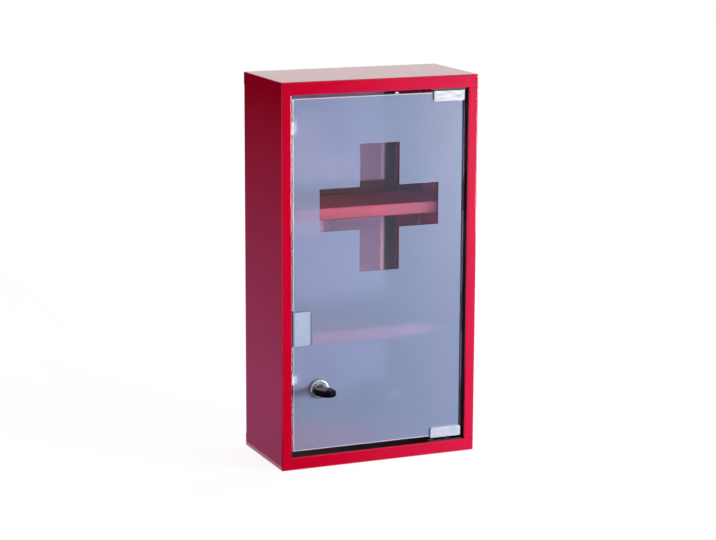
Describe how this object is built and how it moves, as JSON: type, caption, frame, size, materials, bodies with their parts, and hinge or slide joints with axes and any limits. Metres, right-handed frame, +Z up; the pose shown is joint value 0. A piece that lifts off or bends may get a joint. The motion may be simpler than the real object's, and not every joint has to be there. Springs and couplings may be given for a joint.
{
  "type": "medicine cabinet",
  "caption": "Wall-hung steel medicine cabinet with an inset satin glass door with a clear cross, pivot hinges, a magnetic catch, a keyed cam lock and shelves.",
  "frame": {"origin": "centre of the cabinet's underside", "axes": "+X to the right of someone facing the door, +Y towards the wall, +Z up"},
  "size_m": [0.25, 0.1533, 0.46],
  "materials": {
    "red_paint": "semi-gloss powder coat on sheet steel",
    "black_paint": "black paint on steel",
    "zinc_sheet": "bright zinc-plated sheet",
    "steel": "zinc-plated",
    "satin_nickel": "satin nickel",
    "chrome": "bright",
    "clear_glass": "clear, seamed edges",
    "satin_glass": "satin etched",
    "white_nylon": "moulded nylon",
    "black_plastic": "moulded, glossy",
    "soft_liner": "soft vinyl",
    "magnet_ferrite": "sintered ferrite"
  },
  "bodies": {
    "cabinet": {"top_board": "red_paint", "bottom_board": "red_paint", "side_board_left": "red_paint", "side_board_right": "red_paint", "back_panel": "zinc_sheet", "back_rivets": "steel", "lower_shelf": "red_paint", "upper_shelf": "red_paint", "shelf_pegs": "steel", "pivot_plate_top": "black_paint", "pivot_plate_bottom": "black_paint", "pivot_plate_screws": "steel", "pivot_bush_top": "black_plastic", "pivot_bush_bottom": "black_plastic", "catch_case": "white_nylon", "catch_magnet": "magnet_ferrite", "catch_pole_plates": "steel", "catch_screws": "steel", "door_buffers": "white_nylon"},
    "door": {"door_glass": "clear_glass", "satin_layer": "satin_glass", "hinge_clamp_top": "satin_nickel", "hinge_clamp_bottom": "satin_nickel", "pivot_pin_top": "steel", "pivot_pin_bottom": "steel", "clamp_liners": "soft_liner", "clamp_set_screws": "steel", "pull_clip": "satin_nickel", "clip_liner": "soft_liner", "lock_barrel": "chrome", "lock_gasket": "soft_liner", "lock_washer": "soft_liner", "lock_nut": "steel"},
    "lock_core": {"lock_plug": "chrome", "lock_cam": "steel", "cam_screw": "steel"},
    "key": {"key_blade": "steel", "key_head": "black_plastic"}
  },
  "joints": [
    {"name": "door_swing", "type": "hinge", "parent": "cabinet", "child": "door", "pos_m": [0.104, -0.0565, 0.23], "axis": [0, 0, 1], "range_deg": [0, 110]},
    {"name": "lock_turn", "type": "hinge", "parent": "door", "child": "lock_core", "pos_m": [-0.0766, -0.0535, 0.0954], "axis": [0, 1, 0], "range_deg": [0, 90]},
    {"name": "key_pull", "type": "slide", "parent": "lock_core", "child": "key", "axis": [0, -1, 0], "range_m": [0, 0.03]}
  ]
}
